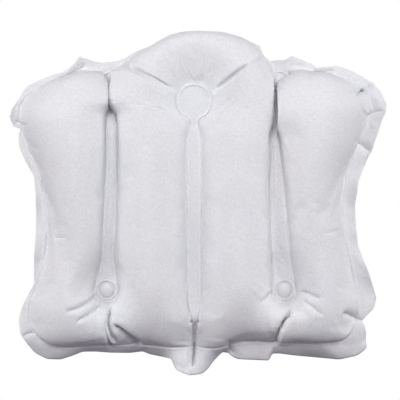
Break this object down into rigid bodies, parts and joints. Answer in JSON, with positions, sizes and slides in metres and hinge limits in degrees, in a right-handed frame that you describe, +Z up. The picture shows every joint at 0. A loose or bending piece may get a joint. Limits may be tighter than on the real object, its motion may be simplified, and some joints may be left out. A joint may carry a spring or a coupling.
{
  "type": "inflatable bath pillow",
  "caption": "Inflatable bath pillow with fluted air chambers, a raised head lobe, terry front, welded free edge, swivelling suction cups and a push-in air valve on the back.",
  "frame": {"origin": "on the wall plane that the suction cups' rims lie in, at the centre of the four cups", "axes": "+Z up the wall, +Y into the wall, +X to the right seen from the front"},
  "size_m": [0.3874, 0.0685, 0.3545],
  "materials": {
    "terry": "matte",
    "back_sheet": "satin",
    "eyelet": "satin",
    "cup": "gloss",
    "valve": "satin"
  },
  "bodies": {
    "pillow": {"front_panel": "terry", "back_panel": "back_sheet", "eyelet_ring_top_left": "eyelet", "eyelet_ring_top_right": "eyelet", "eyelet_ring_bottom_left": "eyelet", "eyelet_ring_bottom_right": "eyelet", "valve_flange": "valve", "valve_web": "valve"},
    "cup_top_left": {"suction_cup_top_left": "cup"},
    "cup_top_right": {"suction_cup_top_right": "cup"},
    "cup_bottom_left": {"suction_cup_bottom_left": "cup"},
    "cup_bottom_right": {"suction_cup_bottom_right": "cup"},
    "stem": {"valve_stem": "valve", "valve_strap": "valve"},
    "plug": {"valve_plug": "valve"},
    "flap": {"valve_flap": "valve"}
  },
  "joints": [
    {"name": "cup_swivel_top_left", "type": "hinge", "parent": "pillow", "child": "cup_top_left", "pos_m": [-0.086, 0, 0.107], "axis": [0, 1, 0], "continuous": true},
    {"name": "cup_swivel_top_right", "type": "hinge", "parent": "pillow", "child": "cup_top_right", "pos_m": [0.086, 0, 0.107], "axis": [0, 1, 0], "continuous": true},
    {"name": "cup_swivel_bottom_left", "type": "hinge", "parent": "pillow", "child": "cup_bottom_left", "pos_m": [-0.091, 0, -0.107], "axis": [0, 1, 0], "continuous": true},
    {"name": "cup_swivel_bottom_right", "type": "hinge", "parent": "pillow", "child": "cup_bottom_right", "pos_m": [0.091, 0, -0.107], "axis": [0, 1, 0], "continuous": true},
    {"name": "valve_stem_slide", "type": "slide", "parent": "pillow", "child": "stem", "axis": [0, 1, 0], "range_m": [0, 0.0085], "deforming": ["valve_web"]},
    {"name": "valve_plug_pull", "type": "slide", "parent": "stem", "child": "plug", "axis": [0, 1, 0], "range_m": [0, 0.009], "deforming": ["valve_strap"]},
    {"name": "valve_flap_swing", "type": "hinge", "parent": "stem", "child": "flap", "pos_m": [0.0445, -0.017, 0.0359], "axis": [-1, 0, 0], "range_deg": [0, 60]}
  ]
}
